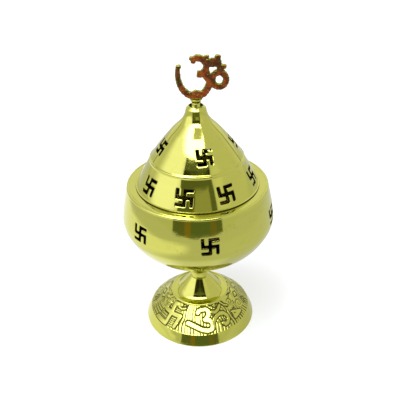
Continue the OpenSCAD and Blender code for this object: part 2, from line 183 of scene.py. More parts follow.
dark = side.between(*DARK_SIDES, EDGE) * up.rise(*DARK_FOOT) * (1.0 - over_sill)
walls = room.mix(dark, walls, room.mix(up.rise(*SHELF), standing, hanging))
head = up.rise(WINDOW_TOP + 0.8, WINDOW_TOP - 0.8) + side.rise(-21.0, -28.0) * up.rise(88.0, 80.0)
window = (side + up * 2.2).rise(20.0, 72.0) * (side - up).rise(-13.0, -16.0)
window = window * over_sill * head.math("MINIMUM", head, 1.0)
walls = room.mix(window, walls, WINDOW_LIGHT)
seen = room.node("LightPath", out=0)
backdrop = room.node("Background", (), {"Color": (1.0, 1.0, 1.0), "Strength": 1.0})
light = room.node("Background", (), {"Color": walls, "Strength": 1.0})
room.node("OutputWorld", (), {0: room.node("MixShader", (), {0: seen, 1: light, 2: backdrop})})

# Table: white paper. It glows in part, so that it looks evenly white and keeps the object's shadow. The
# glow a polished piece mirrors is painted light and shade: painted light toward the window, a little
# less in front, a painted shadow at the sides near the foot, and dimmest far away.
LEFT, RIGHT, FRONT, BACK = -1.6, 1.6, -0.39, 1.9
PAPER, PAPER_GLOW, MIRROR_GLOW, PAPER_LIT = (0.93, 0.94, 0.93), 0.45, 0.85, 1.6
NEAR_TONE, FRONT_TONE, FAR_TONE, WINDOW_TONE = 0.77, 0.93, 0.74, 1.18
table_top = bpy.data.meshes.new("table_top")
table_top.from_pydata([(LEFT, FRONT, 0), (RIGHT, FRONT, 0), (RIGHT, BACK, 0), (LEFT, BACK, 0)],
                      [], [(0, 1, 2, 3)])
table = bpy.data.objects.new("table_top", table_top)
bpy.context.collection.objects.link(table)
paper = Finish(bpy.data.materials.new("white_table"))
ray, _, _, glossy, _, _, through = paper.wires("LightPath", count=7)
x, y, z = paper.wires("SeparateXYZ", (), {0: paper.node("TexCoord", out=3)})
reach = (x * x + y * y) ** 0.5
# Painted reflection of light and shade on the paper: darker near the foot, brighter in front and toward
# the window, dim far off.
near = (y / reach).rise(-0.55, -0.90) * (FRONT_TONE - NEAR_TONE) + NEAR_TONE
near = near + (WINDOW_TONE - near) * (x / reach).rise(-0.35, -0.9)
far = x.rise(0.0, 0.08) * 0.04 + FAR_TONE
far = far + (WINDOW_TONE - far) * x.rise(-0.030, -0.105)
painted_tone = near + (far - near) * reach.rise(0.05, 0.085)
painted_tone = painted_tone + (FAR_TONE - painted_tone) * reach.rise(0.25, 0.31)
shown = (painted_tone - PAPER_LIT * (1 - MIRROR_GLOW)) * (1 / MIRROR_GLOW)
glow = paper.node("Emission", (), {"Color": (1.0, 1.0, 1.0), "Strength": (shown - 1.0) * glossy + 1.0})
matt = paper.node("BsdfDiffuse", (), {"Color": PAPER})
part = ray.math("MAXIMUM", ray, through) * PAPER_GLOW
part = part.math("MAXIMUM", part, glossy * MIRROR_GLOW)
paper.node("OutputMaterial", (), {0: paper.node("MixShader", (), {0: part, 1: matt, 2: glow})})
table_top.materials.append(paper.owner)


# Foot: one brass casting, hollow below. The plain rim and the trumpet neck are turned and
# polished; the band between them is chased by hand with the syllable, hooked crosses,
# rings and leaves on a ground of fine strokes. The foot nut pulls on a flat inside it.
FOOT_R, FOOT_H, FOOT_WALL = 31.0, 29.6, 1.2
BAND_LOW, BAND_MID, BAND_TOP = (28.4, 5.8), (24.9, 8.95), (16.2, 16.4)
BEAD_W, NECK_R = 1.4, 4.5
BELL_SWEEP, CONE_TOP = ((13.0, 17.75), (11.2, 19.5)), (5.3, 26.6)
NUT_SEAT_H, BOSS_R = 18.4, 6.6
BOLT_HOLE_R = 2.05
SHARP, MERGE = radians(32), 1e-7


def bow(start, end, bulge, count=24):
    """Arc of a circle between two points; its middle stands bulge to the left of the chord."""
    start, end = np.array(start, float), np.array(end, float)
    chord = np.hypot(*(end - start))
    r = (chord ** 2 / 4 + bulge ** 2) / (2 * bulge)
    left = np.array([start[1] - end[1], end[0] - start[0]]) / chord
    middle = (start + end) / 2 + left * (bulge - r)
    turn = -2 * asin(chord / 2 / r) * np.linspace(0, 1, count + 1)
    arm = start - middle
    return middle + np.stack((arm[0] * np.cos(turn) - arm[1] * np.sin(turn),
                              arm[0] * np.sin(turn) + arm[1] * np.cos(turn)), -1)


def path(*parts):
    """Points and arcs joined into one outline, without doubled points."""
    line = np.vstack([np.atleast_2d(part) for part in parts]).astype(float)
    apart = np.hypot(*np.diff(line, axis=0).T) > 1e-4
    return line[np.concatenate(([True], apart))]


def eased(line, radius, closed=False, count=4):
    """Each corner of over 16 degrees gives way to a curve that leaves and meets the two
    sides one radius from the corner, or at most 0.4 of a side."""
    back, on = line - np.roll(line, 1, 0), np.roll(line, -1, 0) - line
    back_len, on_len = np.hypot(*back.T), np.hypot(*on.T)
    turn = np.abs(np.angle((on @ [1, 1j]) / (back @ [1, 1j])))
    reach = np.minimum(radius, 0.4 * np.minimum(back_len, on_len)) * (turn > radians(16))
    if not closed:
        reach[[0, -1]] = 0
    low = line - back / back_len[:, None] * reach[:, None]
    high = line + on / on_len[:, None] * reach[:, None]
    t = np.linspace(0, 1, count + 1)[:, None, None]
    curve = (1 - t) ** 2 * low + 2 * t * (1 - t) * line + t ** 2 * high
    return path(curve.transpose(1, 0, 2).reshape(-1, 2))


def beside(line, width):
    """The outline moved to its left by width, square to the way at each point."""
    way = np.gradient(line, axis=0)
    return line + np.stack((-way[:, 1], way[:, 0]), -1) / np.hypot(*way.T)[:, None] * width


def run_of(line):
    """Length run along an outline at each of its points."""
    return np.concatenate(([0.0], np.cumsum(np.hypot(*np.diff(line, axis=0).T))))


def at_run(line, run):
    """Radius and height of an outline where its run has the given lengths."""
    return np.interp(run, run_of(line), line[:, 0]), np.interp(run, run_of(line), line[:, 1])


class Skin:
    """Closed skin of a turned piece, in millimetres, built from rings round the axis.
    Rings follow the section up its outside, in over the top and down its inside."""

    def __init__(self):
        self.points, self.faces, self.grime = np.empty((0, 3)), [], np.empty(0)

    def rings(self, angle, radius, height, grime=0.0):
        """Points x = r sin a, y = -r cos a, z = h; rows are rings, columns run round. The last argument
        is 1 where the surface is darkened nearly to black: dirt in the chased grooves, and painted
        shade inside the shells, round their openings, in the lid's dish and where the lid's lip meets
        the mouth ring."""
        angle, radius, height = np.broadcast_arrays(angle, radius, height)
        grid = np.stack((radius * np.sin(angle), -radius * np.cos(angle), height), -1)
        index = len(self.points) + np.arange(angle.size).reshape(angle.shape)
        self.points = np.vstack((self.points, grid.reshape(-1, 3)))
        self.grime = np.append(self.grime, np.broadcast_to(grime, angle.shape))
        return index

    def turned(self, line, count, start=0.0, grime=0.0):
        """Rings of one outline at equal angles."""
        angle = start + np.linspace(0, 2 * pi, count, endpoint=False)
        return self.rings(angle[None], line[:, :1], line[:, 1:], np.reshape(grime, (-1, 1)))

    def walls(self, index, solid=True):
        """Four-sided faces between neighbouring rings, where solid is true."""
        on = np.roll(index, -1, 1)
        quads = np.stack((index[:-1], on[:-1], on[1:], index[1:]), -1)
        self.faces.append(quads[np.broadcast_to(solid, quads.shape[:2])])

    def angles(self, ring):
        return np.unwrap(np.arctan2(self.points[ring, 0], -self.points[ring, 1]))

    def seam(self, low, high):
        """Triangles between two rings with different counts, in the order of their angles."""
        a = self.angles(low)
        gap = np.angle(np.exp(1j * (self.angles(high) - a[0])))
        high = np.roll(high, -np.argmin(np.abs(gap)))
        b = self.angles(high)
        b = b - np.round((b[0] - a[0]) / (2 * pi)) * 2 * pi
        a_on, b_on = np.append(a[1:], a[0] + 2 * pi), np.append(b[1:], b[0] + 2 * pi)
        of_b = np.searchsorted(b_on, a_on, "left")
        of_a = np.searchsorted(a_on, b_on, "right")
        low, high = np.append(low, low[0]), np.append(high, high[0])
        self.faces.append(np.stack((low[:-1], low[1:], high[of_b]), -1))
        self.faces.append(np.stack((low[of_a], high[1:], high[:-1]), -1))

    def pierce(self, outer, inner, solid, bevel):
        """Walls of the openings where solid is false, between an outer and an inner grid.
        The edges are filed round by averaging twice. The outer edge gives way to a slope as wide as
        bevel, its rim sunk by a third of that. Painted shade darkens the walls and inside edges, most
        along the top of each opening."""
        hole, on = ~solid, np.roll(outer, -1, 1)
        a, b, c, d = outer[:-1], on[:-1], on[1:], outer[1:]
        sides = ((a, b, np.roll(hole, 1, 0)), (b, c, np.roll(hole, -1, 1)),
                 (c, d, np.roll(hole, -1, 0)), (d, a, np.roll(hole, 1, 1)))
        start = np.concatenate([p[solid & free] for p, _, free in sides])
        end = np.concatenate([q[solid & free] for _, q, free in sides])
        ahead, behind = np.zeros(len(self.points), int), np.zeros(len(self.points), int)
        ahead[start], behind[end] = end, start
        partner = np.zeros(len(self.points), int)
        partner[outer] = inner
        p = self.points
        for grid in (start, partner[start]):
            nxt = ahead[start] if grid is start else partner[ahead[start]]
            prv = behind[start] if grid is start else partner[behind[start]]
            for _ in range(2):
                p[grid] = p[grid] / 2 + (p[nxt] + p[prv]) / 4
        out = p[start] - p[partner[start]]
        out /= np.linalg.norm(out, axis=1)[:, None]
        way = p[ahead[start]] - p[behind[start]]
        aside = np.cross(out, way / np.linalg.norm(way, axis=1)[:, None])
        top = np.zeros(len(p), int)
        top[start] = len(p) + np.arange(len(start))
        wall_top = p[start] - out * bevel
        p[start] += aside * bevel - out * bevel / 3
        self.points = np.vstack((p, wall_top))
        # Painted shade: the top edge of each opening, its inside edge and its wall are darkened, most
        # where the metal overhangs the opening.
        self.grime[start] = np.clip(0.25 + 0.7 * aside[:, 2], 0, 0.8)
        self.grime[partner[start]] = 0.95
        self.grime = np.append(self.grime, np.clip(0.55 + 0.9 * aside[:, 2], 0.1, 0.95))
        self.faces.append(np.stack((end, start, top[start], top[end]), -1))
        self.faces.append(np.stack((top[end], top[start], partner[start], partner[end]), -1))

    def made(self, name):
        """The skin as an object in metres, with smooth faces and sharp turned edges."""
        used = np.unique(np.concatenate([f.ravel() for f in self.faces]))
        place = np.zeros(len(self.points), int)
        place[used] = np.arange(len(used))
        mesh = bpy.data.meshes.new(name)
        mesh.from_pydata(self.points[used] / 1000, [],
                         [face for f in self.faces for face in place[f].tolist()])
        mesh.attributes.new("grime", "FLOAT", "POINT").data.foreach_set("value", self.grime[used])
        merged = bmesh.new()
        merged.from_mesh(mesh)
        bmesh.ops.remove_doubles(merged, verts=merged.verts, dist=MERGE)
        merged.to_mesh(mesh)
        merged.free()
        mesh.shade_smooth()
        mesh.set_sharp_from_angle(angle=SHARP)
        piece = bpy.data.objects.new(name, mesh)
        bpy.context.collection.objects.link(piece)
        return piece


def lathe(name, line, count=160):
    """A turned piece: its closed section carried once round the axis."""
    skin = Skin()
    index = skin.turned(line, count)
    skin.walls(np.vstack((index, index[:1])))
    return skin.made(name)


# Nearly black: dirt in the chased grooves, and painted shade inside the shells and round their
# openings.
TARNISH_AND_SHADE = (0.030, 0.026, 0.004)
# Grain of the finish, in repeats per metre.
TOOL_LINES, BANDS, WAVES, SPOTS, SCUFFS = 3200.0, 420.0, 70.0, 190.0, 900.0


def polished(name, base, rough=0.07, lines=0.35, wobble=0.5, pits=0.0, pit_top=0.0, coat=0.12,
             age=0.25):
    """Brass with rings of tool marks round the axis, a slow uneven polish, spots of tarnish, pits below
    pit_top where pits is over 0, and a thin lacquer. Where the skin's darkening attribute is high it
    turns nearly black, rough and bare of lacquer: dirt in the chased grooves, painted shade everywhere
    else."""
    brass = Finish(bpy.data.materials.new(name))
    place = brass.node("TexCoord", out=3)
    x, y, z = brass.wires("SeparateXYZ", (), {0: place})
    reach = (x * x + y * y) ** 0.5
    ring = brass.node("CombineXYZ", (), {0: reach, 1: 0.0, 2: z})
    fine = brass.node("TexNoise", (), {"Vector": ring, "Scale": TOOL_LINES, "Detail": 3.0,
                                       "Roughness": 0.6})
    broad = brass.node("TexNoise", (), {"Vector": ring, "Scale": BANDS, "Detail": 2.0})
    slow = brass.node("TexNoise", (), {"Vector": place, "Scale": WAVES, "Detail": 2.0})
    blotch = brass.node("TexNoise", (), {"Vector": place, "Scale": SPOTS, "Detail": 5.0,
                                         "Roughness": 0.65})
    scuffs = brass.node("TexNoise", (), {"Vector": place, "Scale": SCUFFS, "Detail": 4.0})
    height = fine * (0.000010 * lines) + broad * (0.000045 * lines) + slow * (0.00030 * wobble)
    grime = brass.node("Attribute", dict(attribute_name="grime"), out=2)
    dirt = blotch.rise(0.56, 0.74) * age
    if pits:
        grain = brass.node("TexVoronoi", (), {"Vector": place, "Scale": 520.0})
        rare = brass.node("TexNoise", (), {"Vector": place, "Scale": 240.0, "Detail": 2.0})
        pit = grain.rise(0.20, 0.06) * rare.rise(0.60, 0.68) * z.rise(pit_top + 0.004, pit_top)
        height = height - pit * (0.00010 * pits)
        dirt = dirt + pit * 0.6
    colour = brass.mix(dirt, base, tuple(c * k for c, k in zip(base, (0.62, 0.55, 0.45))))
    colour = brass.mix(broad.rise(0.35, 0.7) * 0.10, colour, tuple(c * 0.8 for c in base))
    # Painted shade, and dirt in the chased grooves: the colour goes nearly black where the darkening
    # attribute is high.
    colour = brass.mix(grime, colour, TARNISH_AND_SHADE)
    bump = brass.node("Bump", (), {"Height": height, "Distance": 1.0, "Strength": 1.0})
    shine = brass.node("BsdfPrincipled", (), {
        "Base Color": colour, "Metallic": 1.0, "Normal": bump,
        "Roughness": dirt * 0.25 + scuffs.rise(0.55, 0.75) * 0.05 + grime * 0.3 + rough,
        "Coat Weight": (1.0 - grime) * coat, "Coat Roughness": 0.06})
    brass.node("OutputMaterial", (), {0: shine})
    return brass.owner


def fit(piece, material, body, slot, *nodes):
    """Dresses a piece, hangs it on its body and hides the solids it stands for."""
    piece.data.materials.append(material)
    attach(piece, body)
    if nodes:
        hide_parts(*nodes)


FOOT_BRASS = (0.60, 0.595, 0.115)
rim = eased(path((FOOT_R, 0.0), (FOOT_R, 0.25), BAND_LOW), 0.3)
band = path(bow(BAND_LOW, BAND_MID, -0.04), bow(BAND_MID, BAND_TOP, -0.1))
bell_start = (BAND_TOP[0] - BEAD_W, BAND_TOP[1] + BEAD_W * 0.4)
bell = path(bow(bell_start, BELL_SWEEP[0], 0.05, 6), bow(*BELL_SWEEP, 0.10, 10),
            bow(BELL_SWEEP[1], CONE_TOP, 0.10, 24), (NECK_R, CONE_TOP[1] + 0.5))
bead = bow(BAND_TOP, bell_start, -0.5, 10)
upper = eased(path(bead, bell, (NECK_R, FOOT_H), (BOLT_HOLE_R, FOOT_H), (BOLT_HOLE_R, NUT_SEAT_H),
                   (BOSS_R, NUT_SEAT_H)), 0.25)
under = beside(path((FOOT_R, 0), band, bell[:-1]), FOOT_WALL)
under = under[(under[:, 1] > 0.3) & (under[:, 0] > BOSS_R) & (under[:, 1] < NUT_SEAT_H + 1)][::-1]
under = eased(path((BOSS_R, NUT_SEAT_H), under, (FOOT_R - 1.5 * FOOT_WALL, 0), (FOOT_R, 0)), 0.3)


# Chased figures as (degrees, millimetres up the band) points: raised strokes with their half
# widths, cut lines, coils as (degrees, height, outer radius, turns) and hatched fields as
# (low degrees, high degrees, low height, high height, pitch). They come round twice.
RAISED = (
    (1.15, ((-4.2, 12.3), (-1.8, 13.5), (2.6, 14.2), (9.2, 14.2), (13.6, 13.0), (13.6, 11.0),
            (9.8, 9.4), (7.0, 8.3))),
    (1.3, ((7.0, 8.3), (12.8, 7.7), (16.2, 6.2), (16.6, 4.3), (14.0, 2.8), (9.2, 2.2), (2.0, 3.0),
           (-5.2, 4.5), (-11.2, 5.5), (-16.6, 6.0))),
    (0.95, ((19.4, 7.1), (21.4, 8.2), (25.8, 9.4), (31.2, 9.9), (36.6, 9.2), (40.0, 7.4),
            (40.0, 5.1), (36.6, 3.5), (32.6, 3.2), (30.8, 4.2))),
    (0.8, ((18.6, 12.1), (21.2, 11.6), (25.4, 11.5), (30.2, 12.2), (34.0, 13.2), (37.0, 14.0))),
    (1.1, ((-49.0, 14.0), (-46.4, 8.2), (-46.4, 1.6), (-62.2, 1.6))),
    (1.1, ((-59.6, 12.4), (-60.4, 8.5), (-46.4, 8.3), (-30.4, 8.6), (-33.4, 2.1))),
    (1.1, ((-49.0, 14.0), (-37.0, 14.8))),
    (0.6, ((-39.4, 13.3), (-33.4, 12.8), (-26.8, 13.6))),
    (0.6, ((50.0, 3.3), (64.4, 3.8), (51.2, 7.1), (50.0, 3.3))),
    (0.9, ((51.8, 4.3), (57.8, 4.2))), (0.8, ((26.6, 15.1), (27.8, 15.1))),
    (0.5, ((50.0, 11.5), (45.0, 13.2), (41.0, 15.5))),
    (0.6, ((-76.0, 12.5), (-70.0, 14.2), (-66.0, 16.0))))
CUT = (
    ((60.8, 13.5), (71.0, 14.9), (80.6, 14.0), (89.0, 14.9), (95.0, 13.8)),
    ((62.0, 16.2), (71.0, 16.4), (83.0, 16.0), (92.0, 16.3)), ((65.0, 15.6), (74.6, 15.2)),
    ((76.0, 10.5), (84.0, 12.3), (92.0, 10.5), (84.0, 9.0), (76.0, 10.5)),
    ((80.0, 3.5), (86.0, 6.5), (92.5, 3.5)), ((82.0, 2.0), (86.0, 4.5), (90.5, 2.0)),
    ((39.8, 14.0), (44.0, 14.9), (47.0, 13.5), (48.2, 11.0)),
    ((-22.6, 15.7), (-27.4, 14.3), (-33.4, 13.4), (-40.6, 14.3), (-43.0, 15.7)),
    ((15.8, 16.2), (20.0, 15.4), (24.2, 16.2), (27.8, 15.2), (32.6, 15.9), (36.2, 14.9), (39.8, 15.7)),
    ((-85.0, 15.7), (-77.8, 16.3), (-69.4, 15.2), (-62.2, 16.3), (-55.0, 15.7)),
    ((-86.0, 8.5), (-80.0, 10.5), (-74.0, 8.8)), ((-54.4, 16.2), (-37.0, 16.0), (-23.8, 15.4)))
COILS = ((-64.5, 12.0, 1.9, 1.8), (-79.5, 12.3, 1.6, 1.6), (58.6, 12.1, 2.0, 1.3),
         (72.2, 6.8, 2.5, 1.4), (57.8, 7.9, 0.5, 1.0))
HATCHED = ((-60.5, -47.5, 3.3, 7.2, 1.3), (-45.5, -34.0, 0.5, 7.6, 1.1), (-45.5, -31.0, 9.6, 13.2, 1.1),
           (-59.0, -50.5, 9.6, 12.8, 1.3), (-83.0, -63.5, 1.2, 7.6, 1.6), (62.0, 68.0, 8.5, 11.0, 1.2))
RAISE, CUT_DEPTH, CUT_W, HATCH_DEPTH, RIB_DEPTH, RIBS = 0.15, 0.20, 0.30, 0.26, 0.13, 92
PLAIN_SIDE, PLAIN_RUN = 42, 8


def how_far(angle, run, radius, stroke):
    """Least distance on the band from each place to a stroke of straight parts. Degrees count
    as the arc at the place's own radius, and the nearest point is kept on its part."""
    least = np.full(angle.shape, 99.0)
    for (a, low), (b, high) in zip(stroke[:-1], stroke[1:]):
        x, y = np.radians(angle - a) * radius, run - low
        on_x, on_y = np.radians(b - a) * radius, high - low
        share = np.clip((x * on_x + y * on_y) / (on_x ** 2 + on_y ** 2), 0, 1)
        least = np.minimum(least, np.hypot(x - share * on_x, y - share * on_y))
    return least


def chased(angle, run, line):
    """Height of the chasing over the band, in millimetres, for angles in degrees and runs in
    millimetres. Strokes are raised to a flat with a dark punched line round them, coils are
    cut where the distance from their middle keeps pace with the turn, fields are hatched
    where the lesser of two waves is low, and the ground has ribs that point to the axis and
    fade high up at the sides."""
    angle, radius = (angle + 87) % 180 - 87, at_run(line, run)[0]
    sway = 50 * np.sin(run * 0.8 + np.radians(angle * 4)) + 30 * np.sin(np.radians(angle * 22))
    ribs = np.clip(1.3 * np.cos(np.radians(angle * RIBS + sway)) + 0.2, 0, 1)
    plain = np.clip((abs(angle) - PLAIN_SIDE) / 8, 0, 1) * np.clip((run - PLAIN_RUN) / 2, 0, 1)
    height = -RIB_DEPTH * ribs * (1 - 0.85 * plain) * (0.8 + 0.3 * np.sin(np.radians(angle * 26)))
    for low, high, bottom, top, pitch in HATCHED:
        across = np.radians(angle - low) * radius
        net = np.minimum(abs(np.sin(across * 3.1 / pitch)) + 0.2, abs(np.sin(run * pi / pitch)))
        here = (angle > low) & (angle < high) & (run > bottom) & (run < top)
        height = np.where(here, -0.02 - HATCH_DEPTH * np.clip(0.65 - net, 0, 1), height)
    away = np.min([how_far(angle, run, radius, stroke) - half for half, stroke in RAISED], 0)
    calm = np.clip((away - 0.3) / 0.3, 0, 1)
    height = height * calm + RAISE * np.clip(0.5 - away / 0.2, 0, 1)
    height -= CUT_DEPTH * np.exp(-((away - 0.3) / CUT_W) ** 2)
    lines = np.min([how_far(angle, run, radius, stroke) for stroke in CUT], 0)
    for middle, level, outer, turns in COILS:
        x, y = np.radians(angle - middle) * radius, run - level
        reach, turned = np.hypot(x, y), np.arctan2(y, x) / (2 * pi)
        pitch = outer / turns
        off = abs((reach / pitch - turned + 0.5) % 1 - 0.5) * pitch
        height = np.where(reach < outer + 0.3, 0.06, height)
        lines = np.minimum(lines, np.where(reach < outer, off, abs(reach - outer) + 0.05))
    return height - CUT_DEPTH * np.exp(-(lines / CUT_W) ** 2)


ROUND, UP, FADE = 1000, 78, 0.4
DIRT_FROM, DIRT_FULL = 0.035, 0.095
run = np.linspace(0, run_of(band)[-1], UP)
turn = np.linspace(0, 2 * pi, ROUND, endpoint=False)
turns, runs = np.meshgrid(turn, run)
r_line, z_line = at_run(band, run)
way = np.gradient(np.stack((r_line, z_line), -1), axis=0)
way /= np.hypot(*way.T)[:, None]
relief = chased(np.degrees(turns), runs, band)
relief *= np.clip(runs / FADE, 0, 1) * np.clip((run[-1] - runs) / FADE, 0, 1)
dirt = np.clip((-relief - DIRT_FROM) / (DIRT_FULL - DIRT_FROM), 0, 0.9)
foot_skin = Skin()
low_rings = foot_skin.turned(rim, 208)
band_rings = foot_skin.rings(turns, r_line[:, None] + relief * way[:, 1:],
                             z_line[:, None] - relief * way[:, :1], dirt)
high_rings = foot_skin.turned(upper, 128)
inner_rings = foot_skin.turned(under[1:], 96)
for rings in (low_rings, band_rings, high_rings, inner_rings):
    foot_skin.walls(rings)
foot_skin.seam(low_rings[-1], band_rings[0])
foot_skin.seam(band_rings[-1], high_rings[0])
foot_skin.seam(high_rings[-1], inner_rings[0])
foot_skin.seam(inner_rings[-1], low_rings[0])
fit(foot_skin.made("chased_foot"), polished("foot_brass", FOOT_BRASS), "stand", "polished_brass",
    "foot")


# Collar and stem: two turned brass pieces that the long bolt threads together. The collar
# is a thin disc on the foot; the stem has a bead, a round knop and a flange for the bowl.
COLLAR_R, COLLAR_T = 5.0, 0.9
STEM_R, STEM_H, KNOP_R, FLANGE_R, FLANGE_T = 2.9, 14.4, 5.2, 9.0, 1.4
STEM_Z = FOOT_H + COLLAR_T
BOWL_Z = STEM_Z + STEM_H
stem_brass = polished("stem_brass", FOOT_BRASS, rough=0.09)


def ring_section(low, high, inner, outer, radius):
    """Closed section of a plain ring with eased edges."""
    corners = path((outer, low), (outer, high), (inner, high), (inner, low))
    return eased(corners, radius, closed=True)


fit(lathe("collar_disc", ring_section(FOOT_H, STEM_Z, BOLT_HOLE_R, COLLAR_R, 0.25)), stem_brass,
    "stand", "polished_brass", "collar")
knop = bow((STEM_R, STEM_H * 0.3), (STEM_R, STEM_H * 0.66), STEM_R - KNOP_R, 32)
flare = bow((STEM_R - 0.3, STEM_H * 0.66 + 0.3), (FLANGE_R, STEM_H - FLANGE_T),
            (FLANGE_R - STEM_R) * 0.22, 24)
stem_line = eased(path(
    (STEM_R, 0), bow((STEM_R, 0.3), (STEM_R, STEM_H * 0.14), -0.35, 8), (STEM_R - 0.3, STEM_H * 0.14),
    (STEM_R - 0.3, STEM_H * 0.3), knop, (STEM_R - 0.3, STEM_H * 0.66), flare, (FLANGE_R, STEM_H),
    (BOLT_HOLE_R, STEM_H), (BOLT_HOLE_R, 0)), 0.25, closed=True)
fit(lathe("turned_stem", stem_line + (0, STEM_Z)), stem_brass, "stand", "polished_brass", "stem")


# Bowl: a cast round shell, turned, with a flat bottom. Hooked crosses are sawn through its upper
# side and filed at the edges; the lower half keeps pits from the casting.
BOWL_H, BOWL_WALL, BOWL_FLOOR_R, BOWL_TURN, BELLY = 41.1, 1.1, 14.5, (20.2, 0.9), (39.3, 19.3)
BOWL_SIDE, MOUTH_R = (39.9, 25.5), 36.7
BOWL_MARKS, BOWL_ROW, BOWL_MOTIF, STROKE = (-92, -47, 8, 74, 138, 203), 28.2, 8.8, 1.6
BEVEL = 0.12
BOWL_BRASS = (0.60, 0.595, 0.12)


def strokes_of(size):
    """Places of the ruling over one cross: five lines over each stroke, three between
    strokes and two beyond each end."""
    far, half = (size - STROKE) / 2, STROKE / 2
    lines = [c + STROKE * np.linspace(-0.5, 0.5, 5) for c in (-far, 0, far)]
    between = [(far / 2) * s + np.array((-0.25, 0, 0.25)) * (far - STROKE) * 1.3 for s in (-1, 1)]
    edges = [s * (far + half + np.array((0.35, 0.9))) for s in (-1, 1)]
    return np.sort(np.concatenate(lines + between + edges))


def cross(x, y, size):
    """True inside a right-facing hooked cross: two long bars and four hooks."""
    half, far, w = size / 2, (size - STROKE) / 2, STROKE / 2
    inside = (abs(x) < w) & (abs(y) < half) | (abs(y) < w) & (abs(x) < half)
    for _ in range(4):
        inside |= (abs(y - far) < w) & (x > -w) & (x < half)
        x, y = y, -x
    return inside


def shell(skin, line, wall, marks, row, size, gap_count, row_step):
    """Two walls of a turned shell with a row of sawn crosses. Columns are ruled at fixed
    distances from the middle of each cross, so a cross keeps its width as the wall narrows,
    and are spread evenly between crosses. Rows are ruled the same way along the outline."""
    run_end, ruled = run_of(line)[-1], strokes_of(size)
    middle = np.interp(row, line[:, 1], run_of(line))
    below = np.linspace(0, middle + ruled[0], max(3, int((middle + ruled[0]) / row_step)))
    above = np.linspace(middle + ruled[-1], run_end,
                        max(3, int((run_end - middle - ruled[-1]) / row_step)))
    runs = np.concatenate((below[:-1], middle + ruled, above[1:]))
    r, z = at_run(line, runs)
    centres = np.radians(marks)
    blocks = centres[None, :, None] + np.arcsin(ruled / r[:, None])[:, None, :]
    following = np.roll(blocks, -1, 1)[:, :, :1]
    following[:, -1] += 2 * pi
    share = np.linspace(0, 1, gap_count + 2)[1:-1]
    gaps = blocks[:, :, -1:] + (following - blocks[:, :, -1:]) * share
    angle = np.concatenate((blocks, gaps), 2).reshape(len(runs), -1)
    across = np.concatenate((ruled, np.full(gap_count, 99.0)))
    across_middle = np.append((across[1:] + across[:-1]) / 2, 99.0)
    across_middle[len(ruled) - 1:] = 99.0
    run_middle = (runs[1:] + runs[:-1]) / 2 - middle
    x, y = np.meshgrid(np.tile(across_middle, len(marks)), run_middle)
    solid = ~cross(x, y, size)
    outer = skin.rings(angle, r[:, None], z[:, None])
    r, z = beside(np.stack((r, z), -1), wall).T
    # Painted shade: the shell's inner side is darkened to 0.9, so that the openings look black.
    inner = skin.rings(angle[::-1], r[::-1, None], z[::-1, None], 0.9)
    skin.pierce(outer, inner[::-1], solid, BEVEL)
    skin.walls(outer, solid)
    skin.walls(inner, solid[::-1])
    return outer, inner


bowl_line = path(bow((BOWL_FLOOR_R, 0), BOWL_TURN, -0.25, 6), bow(BOWL_TURN, BELLY, -2.75, 60),
                 bow(BELLY, BOWL_SIDE, -0.37, 16), bow(BOWL_SIDE, (MOUTH_R, BOWL_H), -0.3, 24))
bowl_line = eased(bowl_line, 0.5) + (0, BOWL_Z)
bowl_skin = Skin()
outer, inner = shell(bowl_skin, bowl_line[2:], BOWL_WALL, BOWL_MARKS, BOWL_Z + BOWL_ROW, BOWL_MOTIF,
                     24, 1.0)
floor = eased(path((BOWL_FLOOR_R - 1, BOWL_Z + BOWL_WALL), (BOLT_HOLE_R, BOWL_Z + BOWL_WALL),
                   (BOLT_HOLE_R, BOWL_Z), bowl_line[1]), 0.2)
floor_rings = bowl_skin.turned(floor, 128, radians(BOWL_MARKS[0]))
bowl_skin.walls(floor_rings)
bowl_skin.walls(np.vstack((outer[-1:], inner[:1])))
bowl_skin.seam(inner[-1], floor_rings[0])
bowl_skin.seam(floor_rings[-1], outer[0])
bowl_brass = polished("bowl_brass", BOWL_BRASS, pits=1.0, pit_top=(BOWL_Z + BOWL_SIDE[1]) / 1000)
fit(bowl_skin.made("pierced_bowl"), bowl_brass, "stand", "polished_brass", "bowl")


# Mouth ring: a flat turned ring pressed into the shell's edge. Its rim is turned to a bead
# with a cut groove inside it, and the lid sits within the groove.
RING_T, RING_LIP, RING_BORE_R, SPIGOT_H, SPIGOT_T = 1.2, 0.15, 30.4, 2.5, 1.2
RING_Z = BOWL_Z + BOWL_H
SEAT_Z = RING_Z + RING_T
ring_r, spigot_r = MOUTH_R + RING_LIP, MOUTH_R - BOWL_WALL - 0.1
ring_line = eased(path(
    (ring_r, 0), bow((ring_r, 0.35), (ring_r - 1.15, RING_T), -0.3, 10), (ring_r - 1.4, RING_T - 0.22),
    (ring_r - 1.65, RING_T - 0.02), (ring_r - 1.8, RING_T), (RING_BORE_R, RING_T), (RING_BORE_R, 0),
    (spigot_r - SPIGOT_T, 0), (spigot_r - SPIGOT_T, -SPIGOT_H), (spigot_r, -SPIGOT_H),
    (spigot_r, 0)), 0.1, closed=True)
fit(lathe("mouth_ring_turned", ring_line + (0, RING_Z), 256),
    polished("ring_brass", BOWL_BRASS, rough=0.10, lines=0.8), "stand", "polished_brass",
    "mouth_ring")


